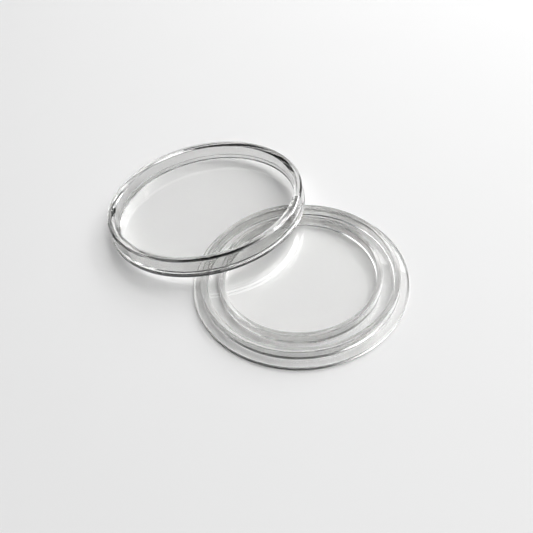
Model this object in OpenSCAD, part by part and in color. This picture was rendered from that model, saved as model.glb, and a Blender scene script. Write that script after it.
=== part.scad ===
// Two-piece round coin capsule in clear moulded plastic, millimetres.
// The base lies on its flat underside with its axis on Z. The lid is off and lies open side up:
// its low edge rests on the table and its underside leans on the closing ring of the base.

/* [Coin seat] */
// Diameter of the coin that the seat is made for
coin_d = 30.6; // [24:0.1:36]
// Play all round the coin
coin_play = 0.25; // [0.1:0.05:0.5]
// Wall of the ring round the coin
seat_wall = 1; // [0.95:0.05:1.4]

/* [Base] */
// Thickness of the base's floor and flange
base_floor = 1; // [0.7:0.05:1.5]
// Height of both rings above the underside
ring_top = 3.2; // [2.4:0.1:4]
// Width of the open groove between the two rings
groove_w = 2.5; // [1.5:0.05:4]
// Wall of the closing ring, which the lid slips over
closing_wall = 1.15; // [0.95:0.05:1.6]
// How far the flange stands out past the closing ring
flange_w = 1.8; // [1.2:0.05:3]

/* [Lid] */
// Radial clearance between the lid's wall and the closing ring
lid_clearance = 0.05; // [0.02:0.01:0.1]
// Wall of the lid
lid_wall = 1.6; // [1.1:0.05:1.9]
// Thickness of the lid's closed face
lid_floor = 0.45; // [0.4:0.05:0.8]
// Outer height of the lid
lid_h = 4.35; // [3.6:0.05:6]
// How far the flange round the closed face stands out past the wall
foot_lip = 0.45; // [0.35:0.05:0.9]
// Height of the flange round the closed face
foot_h = 0.9; // [0.6:0.05:1.2]
// How far the lip round the rim stands out past the wall
rim_lip = 0.2; // [0.2:0.05:0.6]
// Height of the lip round the rim
rim_lip_h = 0.8; // [0.8:0.05:1.4]

/* [Edges] */
// Rounding of the plain outer edges, and fillets at the foot of the base's rings
edge_r = 0.15; // [0.1:0.01:0.2]
// Rounding on top of the base's two rings
ring_edge_r = 0.2; // [0.1:0.05:0.45]
// Rounding of the upper edge of the flange round the lid's closed face
foot_edge_r = 0.3; // [0.15:0.05:0.35]
// Width of the bevel inside the lid's rim, which guides it on to the closing ring
rim_bevel_w = 0.8; // [0.3:0.05:0.9]
// Height of the same bevel
rim_bevel_h = 0.5; // [0.3:0.05:0.7]
// Bevel of the lid rim's outer edge, at 45 degrees
rim_outer_bevel = 0.4; // [0.2:0.05:0.6]
// Fillet inside the lid, between its wall and its closed face
lid_fillet = 0.15; // [0.1:0.05:0.6]

/* [Resting place of the lid] */
// Direction from the base's axis to the lid, from +X towards +Y
lid_azimuth = 129.3; // [0:0.1:360]
// Distance from the base's axis to the point where the lid's edge rests on the table
lid_reach = 51.4; // [46:0.1:60]
// Gap left between the leaning lid and the ring under it
lean_gap = 0.02; // [0.01:0.01:0.05]

/* [Hidden] */
$fn = 128;
seat_r = coin_d / 2 + coin_play;
seat_outer_r = seat_r + seat_wall;
closing_inner_r = seat_outer_r + groove_w;
closing_outer_r = closing_inner_r + closing_wall;
flange_r = closing_outer_r + flange_w;
lid_inner_r = closing_outer_r + lid_clearance;
lid_outer_r = lid_inner_r + lid_wall;
lid_foot_r = lid_outer_r + foot_lip;
lid_rim_r = lid_outer_r + rim_lip;
clear_plastic = [0.93, 0.93, 0.92, 0.35];
// Lean of the lid, in the upright plane through both axes. The rounding of the lid's low edge
// stands on the table, and the lid's flat underside lies on the rounding of the ring's top edge:
// with the two roundings' centres lean_run apart along the table and lean_rise apart in height,
// lean_run * sin(lean) - lean_rise * cos(lean) = lean_offset.
lean_run = lid_reach - closing_outer_r + ring_edge_r;
lean_rise = ring_top - ring_edge_r - edge_r;
lean_offset = ring_edge_r + edge_r + lean_gap;
lid_lean = atan2(lean_rise, lean_run) + asin(lean_offset / norm([lean_run, lean_rise]));

// The sliver between a square corner and its rounding: side points from the corner to the centre
module corner(at, round_r, side) {
    translate(at) scale(side) difference() {
        translate([-edge_r, -edge_r]) square(round_r + edge_r);
        translate([round_r, round_r]) circle(round_r);
    }
}

// The same for a bevel, w wide and h high
module bevel(at, w, h, side) {
    translate(at) scale(side)
        polygon([[w, 0], [0, h], [-edge_r, h], [-edge_r, -edge_r], [w, -edge_r]]);
}

// Outline of a block from inner_r to outer_r and low to high, with its two outer edges rounded
module block(inner_r, outer_r, low, high, low_round, high_round) {
    difference() {
        translate([inner_r, low]) square([outer_r - inner_r, high - low]);
        corner([outer_r, low], low_round, [-1, 1]);
        corner([outer_r, high], high_round, [-1, -1]);
    }
}

// Outline of one of the base's rings, with both top edges rounded
module ring(inner_r, outer_r) {
    difference() {
        block(inner_r, outer_r, 0, ring_top, edge_r, ring_edge_r);
        corner([inner_r, ring_top], ring_edge_r, [1, -1]);
    }
}

// Base: floor and flange in one disc, the ring round the coin, and the ring that the lid closes on,
// with fillets in the groove and at the foot of the closing ring
module base() {
    color(clear_plastic) rotate_extrude() {
        block(0, flange_r, 0, base_floor, edge_r, edge_r);
        ring(seat_r, seat_outer_r);
        ring(closing_inner_r, closing_outer_r);
        corner([seat_outer_r, base_floor], edge_r, [1, 1]);
        corner([closing_inner_r, base_floor], edge_r, [-1, 1]);
        corner([closing_outer_r, base_floor], edge_r, [1, 1]);
    }
}

// Lid standing level, open side up, with the outside of its closed face on Z 0: a thin face, the
// flange round it, the wall, the lip round the rim, and the fillet inside
module level_lid() {
    rotate_extrude() {
        square([lid_outer_r, lid_floor]);
        block(lid_inner_r, lid_foot_r, 0, foot_h, edge_r, foot_edge_r);
        translate([lid_inner_r, lid_floor]) square([lid_wall, lid_h - rim_lip_h - lid_floor]);
        difference() {
            block(lid_inner_r, lid_rim_r, lid_h - rim_lip_h, lid_h, edge_r, edge_r);
            bevel([lid_inner_r, lid_h], rim_bevel_w, rim_bevel_h, [1, -1]);
            bevel([lid_rim_r, lid_h], rim_outer_bevel, rim_outer_bevel, [-1, -1]);
        }
        corner([lid_inner_r, lid_floor], lid_fillet, [-1, 1]);
    }
}

// Lid, put where it leans on the base
module lid() {
    color(clear_plastic) rotate([0, 0, lid_azimuth]) translate([lid_reach, 0, edge_r])
        rotate([0, lid_lean, 0]) translate([edge_r - lid_foot_r, 0, -edge_r]) level_lid();
}

base();
lid();
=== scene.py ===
# Clear coin capsule, lid off: looks, light and camera round the CAD frame. Metres, row frame.
import math

import bpy
from mathutils import Matrix, Vector


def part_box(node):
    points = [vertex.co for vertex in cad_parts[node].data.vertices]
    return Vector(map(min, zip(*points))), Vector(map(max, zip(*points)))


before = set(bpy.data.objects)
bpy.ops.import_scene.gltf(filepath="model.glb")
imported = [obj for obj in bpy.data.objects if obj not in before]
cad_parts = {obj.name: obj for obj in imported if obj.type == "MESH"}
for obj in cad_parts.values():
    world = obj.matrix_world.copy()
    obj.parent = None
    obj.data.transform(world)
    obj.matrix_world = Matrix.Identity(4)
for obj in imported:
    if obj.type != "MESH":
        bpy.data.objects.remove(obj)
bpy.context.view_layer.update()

base_low, base_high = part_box("base")
flange_r = (base_high.x - base_low.x) / 2

# Table: gap under the base, width, shade, and the scale, detail and lowest shade of its mottle
TABLE_GAP = 0.00002
TABLE_WIDTH = 3.0
TABLE_SHADE = 0.86
MOTTLE_SCALE = 60.0
MOTTLE_DETAIL = 3.0
MOTTLE_LOW = 0.99
MATT_ROUGHNESS = 0.8
MATT_SPECULAR = 0.1

# Clear plastic: tint of its polished faces, and tint and density per metre of its inside
PLASTIC_IOR = 1.59
CLEAR_TINT = (0.985, 0.985, 0.98, 1.0)
INSIDE_TINT = (0.88, 0.88, 0.875, 1.0)
INSIDE_DENSITY = 60.0
# Grain that the mould leaves on upright walls and on the rim: noise per metre, bump height and
# depth of the grained rim in metres, detail, and the cosines between face and turning axis up to
# which a face is wall and from which it is flat
GRAIN_SCALE = 3500.0
GRAIN_HEIGHT = 0.00002
RIM_DEPTH = 0.0001
GRAIN_DETAIL = 2.0
WALL_SLOPE = 0.15
FLAT_SLOPE = 0.4
# Noise values between which roughness grows, and how far it falls below and rises above its mean
NOISE_LOW, NOISE_HIGH = 0.3, 0.7
SMOOTH_PART, ROUGH_PART = 0.5, 1.5
# Roughness and bump strength of the mould grain on each piece, and the tint of the same faces: a
# grey that paints shade on the walls and rim
BASE_GRAIN_AND_SHADE = (0.08, 0.3, (0.62, 0.62, 0.615, 1.0))
LID_GRAIN_AND_SHADE = (0.0, 0.05, (0.72, 0.72, 0.715, 1.0))

# Shading: faces that count as facing up, doubled points in metres, sharp edges in degrees, and
# how strongly large faces set the normals
UP_FACING = 0.5
WELD_DISTANCE = 1e-6
SHARP_ANGLE = 30
LARGE_FACE_WEIGHT = 50

# Sockets of a colour Mix node: its two colours and its result
MIX_FIRST, MIX_SECOND, MIX_RESULT = 6, 7, 2

scene = bpy.context.scene


def build_nodes(material):
    """An empty node tree for material, and a function that adds a node with its inputs set."""
    material.use_nodes = True
    tree = material.node_tree
    tree.nodes.clear()

    def add(kind, links=None, **settings):
        node = tree.nodes.new(kind)
        for name, value in settings.items():
            setattr(node, name, value)
        for socket, value in (links or {}).items():
            if isinstance(value, bpy.types.NodeSocket):
                tree.links.new(value, node.inputs[socket])
            else:
                node.inputs[socket].default_value = value
        return node

    return add


def turning_axis(node):
    """Axis of a turned piece in its own frame, and the height of its rim along that axis."""
    up = Vector((0, 0, 0))
    for face in node.data.polygons:
        if face.normal.z > UP_FACING:
            up += face.normal * face.area
    axis = up.normalized()
    return axis, max(vertex.co.dot(axis) for vertex in node.data.vertices)


def clear_plastic(name, node, roughness, strength, tint):
    """Clear moulded plastic: polished, but with mould grain on the walls and the rim of node, and a
    grey tint there that paints shade.
    """
    axis, rim_height = turning_axis(node)
    material = bpy.data.materials.new(name)
    add = build_nodes(material)
    place = add("ShaderNodeTexCoord")
    grain = add("ShaderNodeTexNoise", {
        "Vector": place.outputs["Object"], "Scale": GRAIN_SCALE, "Detail": GRAIN_DETAIL,
    }).outputs["Fac"]
    slope = add("ShaderNodeVectorMath", {
        0: place.outputs["Normal"], 1: axis}, operation="DOT_PRODUCT").outputs["Value"]
    steep = add("ShaderNodeMath", {0: slope}, operation="ABSOLUTE").outputs["Value"]
    wall = add("ShaderNodeMapRange", {
        "Value": steep, "From Min": WALL_SLOPE, "From Max": FLAT_SLOPE, "To Min": 1.0, "To Max": 0.0,
    }).outputs["Result"]
    height = add("ShaderNodeVectorMath", {
        0: place.outputs["Object"], 1: axis}, operation="DOT_PRODUCT").outputs["Value"]
    rim = add("ShaderNodeMapRange", {
        "Value": height, "From Min": rim_height - RIM_DEPTH, "From Max": rim_height,
    }).outputs["Result"]
    # Walls and rim: the faces with mould grain, which also carry the painted shade
    grain_and_shade_mask = add("ShaderNodeMath", {0: wall, 1: rim}, operation="MAXIMUM").outputs["Value"]
    # A piece that is polished all over gets its roughness as a plain value on the shader
    rough = 0.0
    if roughness > 0.0:
        patches = add("ShaderNodeMapRange", {
            "Value": grain, "From Min": NOISE_LOW, "From Max": NOISE_HIGH,
            "To Min": roughness * SMOOTH_PART, "To Max": roughness * ROUGH_PART,
        }).outputs["Result"]
        rough = add("ShaderNodeMath", {
            0: grain_and_shade_mask, 1: patches}, operation="MULTIPLY").outputs["Value"]
    depth = add("ShaderNodeMath", {0: grain_and_shade_mask, 1: strength}, operation="MULTIPLY").outputs["Value"]
    bump = add("ShaderNodeBump", {"Height": grain, "Strength": depth, "Distance": GRAIN_HEIGHT})
    # The walls and rim get a grey tint: painted shade
    colour = add("ShaderNodeMix", data_type="RGBA")
    material.node_tree.links.new(grain_and_shade_mask, colour.inputs["Factor"])
    colour.inputs[MIX_FIRST].default_value = CLEAR_TINT
    colour.inputs[MIX_SECOND].default_value = tint
    shader = add("ShaderNodeBsdfPrincipled", {
        "Base Color": colour.outputs[MIX_RESULT],
        "Roughness": rough,
        "IOR": PLASTIC_IOR,
        "Transmission Weight": 1.0,
        "Normal": bump.outputs["Normal"],
    })
    inside = add("ShaderNodeVolumeAbsorption", {
        "Color": INSIDE_TINT, "Density": INSIDE_DENSITY,
    })
    add("ShaderNodeOutputMaterial", {
        "Surface": shader.outputs["BSDF"], "Volume": inside.outputs["Volume"],
    })
    return material


def matte(name, level):
    """A plain matt surface with a faint mottle."""
    material = bpy.data.materials.new(name)
    add = build_nodes(material)
    place = add("ShaderNodeTexCoord").outputs["Object"]
    mottle = add("ShaderNodeTexNoise", {
        "Vector": place, "Scale": MOTTLE_SCALE, "Detail": MOTTLE_DETAIL,
    })
    shade = add("ShaderNodeMapRange", {
        "Value": mottle.outputs["Fac"], "To Min": level * MOTTLE_LOW, "To Max": level,
    })
    shader = add("ShaderNodeBsdfPrincipled", {
        "Base Color": shade.outputs["Result"],
        "Roughness": MATT_ROUGHNESS,
        "Specular IOR Level": MATT_SPECULAR,
    })
    add("ShaderNodeOutputMaterial", {"Surface": shader.outputs["BSDF"]})
    return material


def sheet(name, centre, towards, width, height, material):
    """A flat rectangle at centre that faces towards a point."""
    mesh = bpy.data.meshes.new(name)
    half_w, half_h = width / 2, height / 2
    corners = [
        (-half_w, -half_h, 0), (half_w, -half_h, 0), (half_w, half_h, 0), (-half_w, half_h, 0),
    ]
    mesh.from_pydata(corners, [], [(0, 1, 2, 3)])
    mesh.materials.append(material)
    thing = bpy.data.objects.new(name, mesh)
    scene.collection.objects.link(thing)
    thing.location = centre
    away = Vector(towards) - Vector(centre)
    thing.rotation_euler = away.to_track_quat("Z", "Y").to_euler()
    return thing


def direction(azimuth, elevation):
    """Unit vector from the object. Azimuth runs from +X towards +Y, both in degrees."""
    a, e = math.radians(azimuth), math.radians(elevation)
    return Vector((math.cos(a) * math.cos(e), math.sin(a) * math.cos(e), math.sin(e)))


def soft_lamp(name, azimuth, elevation, distance, width, height, power):
    """A rectangular soft lamp that faces the object."""
    data = bpy.data.lights.new(name, "AREA")
    data.shape = "RECTANGLE"
    data.size, data.size_y = width, height
    data.energy = power
    lamp = bpy.data.objects.new(name, data)
    scene.collection.objects.link(lamp)
    lamp.location = direction(azimuth, elevation) * distance
    lamp.rotation_euler = (-lamp.location).to_track_quat("-Z", "Y").to_euler()
    return lamp


def smooth_normals(node):
    """Even shading on the turned walls, and true flats: without it the facets streak the plastic."""
    weld = node.modifiers.new("weld", "WELD")
    weld.merge_threshold = WELD_DISTANCE
    split = node.modifiers.new("sharp_edges", "EDGE_SPLIT")
    split.split_angle = math.radians(SHARP_ANGLE)
    split.use_edge_sharp = False
    weighted = node.modifiers.new("normals", "WEIGHTED_NORMAL")
    weighted.mode = "FACE_AREA_WITH_ANGLE"
    weighted.keep_sharp = False
    weighted.weight = LARGE_FACE_WEIGHT


# Plastic on both pieces
for node_name, grain in (("base", BASE_GRAIN_AND_SHADE), ("lid", LID_GRAIN_AND_SHADE)):
    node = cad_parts[node_name]
    plastic = clear_plastic(node_name + "_clear_plastic", node, *grain)
    smooth_normals(node)
    for slot in node.material_slots:
        slot.material = plastic

# Table
sheet("table", (0, 0, -TABLE_GAP), (0, 0, 1), TABLE_WIDTH, TABLE_WIDTH, matte("table", TABLE_SHADE))

# Room: dark in front, which shows as black lines in the plastic, and grey at the back and overhead.
# The stops run from the side away from ROOM_TOWARDS to the side towards it
ROOM_TOWARDS = (70, 40)
ROOM = [(0.0, 0.02), (0.45, 0.03), (0.7, 0.25), (1.0, 0.45)]
ROOM_STRENGTH = 0.08
world = bpy.data.worlds.new("room")
scene.world = world
add = build_nodes(world)
sky = add("ShaderNodeTexCoord").outputs["Generated"]
across = add("ShaderNodeVectorMath", operation="DOT_PRODUCT")
across.inputs[1].default_value = direction(*ROOM_TOWARDS)
world.node_tree.links.new(sky, across.inputs[0])
place = add("ShaderNodeMapRange", {"Value": across.outputs["Value"], "From Min": -1.0})
ramp = add("ShaderNodeValToRGB", {"Fac": place.outputs["Result"]})
for index, (at, level) in enumerate(ROOM):
    stops = ramp.color_ramp.elements
    stop = stops[index] if index < 2 else stops.new(at)
    stop.position = at
    stop.color = (level, level, level, 1.0)
background = add("ShaderNodeBackground", {"Color": ramp.outputs["Color"], "Strength": ROOM_STRENGTH})
add("ShaderNodeOutputWorld", {"Surface": background.outputs["Background"]})

# Lamps: name, azimuth and elevation in degrees, distance, width and height in metres, and watts
LAMPS = [
    ("top_lamp", 26, 64, 1.0, 0.9, 0.9, 10.5),
    ("back_lamp", 52, 34, 0.6, 0.35, 0.3, 1.1),
    ("right_lamp", -10, 36, 0.7, 0.35, 0.25, 0.4),
    ("left_lamp", 185, 36, 0.7, 0.4, 0.3, 0.12),
]
for lamp in LAMPS:
    soft_lamp(*lamp)

# Camera: its place in flange radii, its right and up directions, and millimetres of sensor and lens
CAMERA_AT = Vector((-0.30008, -3.99531, 4.47955)) * flange_r
CAMERA_RIGHT = Vector((0.99436, -0.07712, -0.07281))
CAMERA_UP = Vector((0.10606, 0.72305, 0.68261))
SENSOR_WIDTH = 36.0
LENS = 43.21
NEAREST = 0.001
camera_data = bpy.data.cameras.new("camera")
camera = bpy.data.objects.new("camera", camera_data)
scene.collection.objects.link(camera)
back = CAMERA_RIGHT.cross(CAMERA_UP).normalized()
camera.matrix_world = Matrix.Translation(CAMERA_AT) @ Matrix(
    (CAMERA_RIGHT, CAMERA_UP, back)).transposed().to_4x4()
camera_data.sensor_width = SENSOR_WIDTH
camera_data.lens = LENS
camera_data.clip_start = NEAREST
scene.camera = camera

# Light passes many walls of clear plastic, so the paths are long
BOUNCES = 48
scene.view_settings.view_transform = "Standard"
scene.cycles.blur_glossy = 0.0
scene.cycles.sample_clamp_indirect = 0.0
scene.cycles.max_bounces = BOUNCES
scene.cycles.transmission_bounces = BOUNCES
scene.cycles.glossy_bounces = BOUNCES
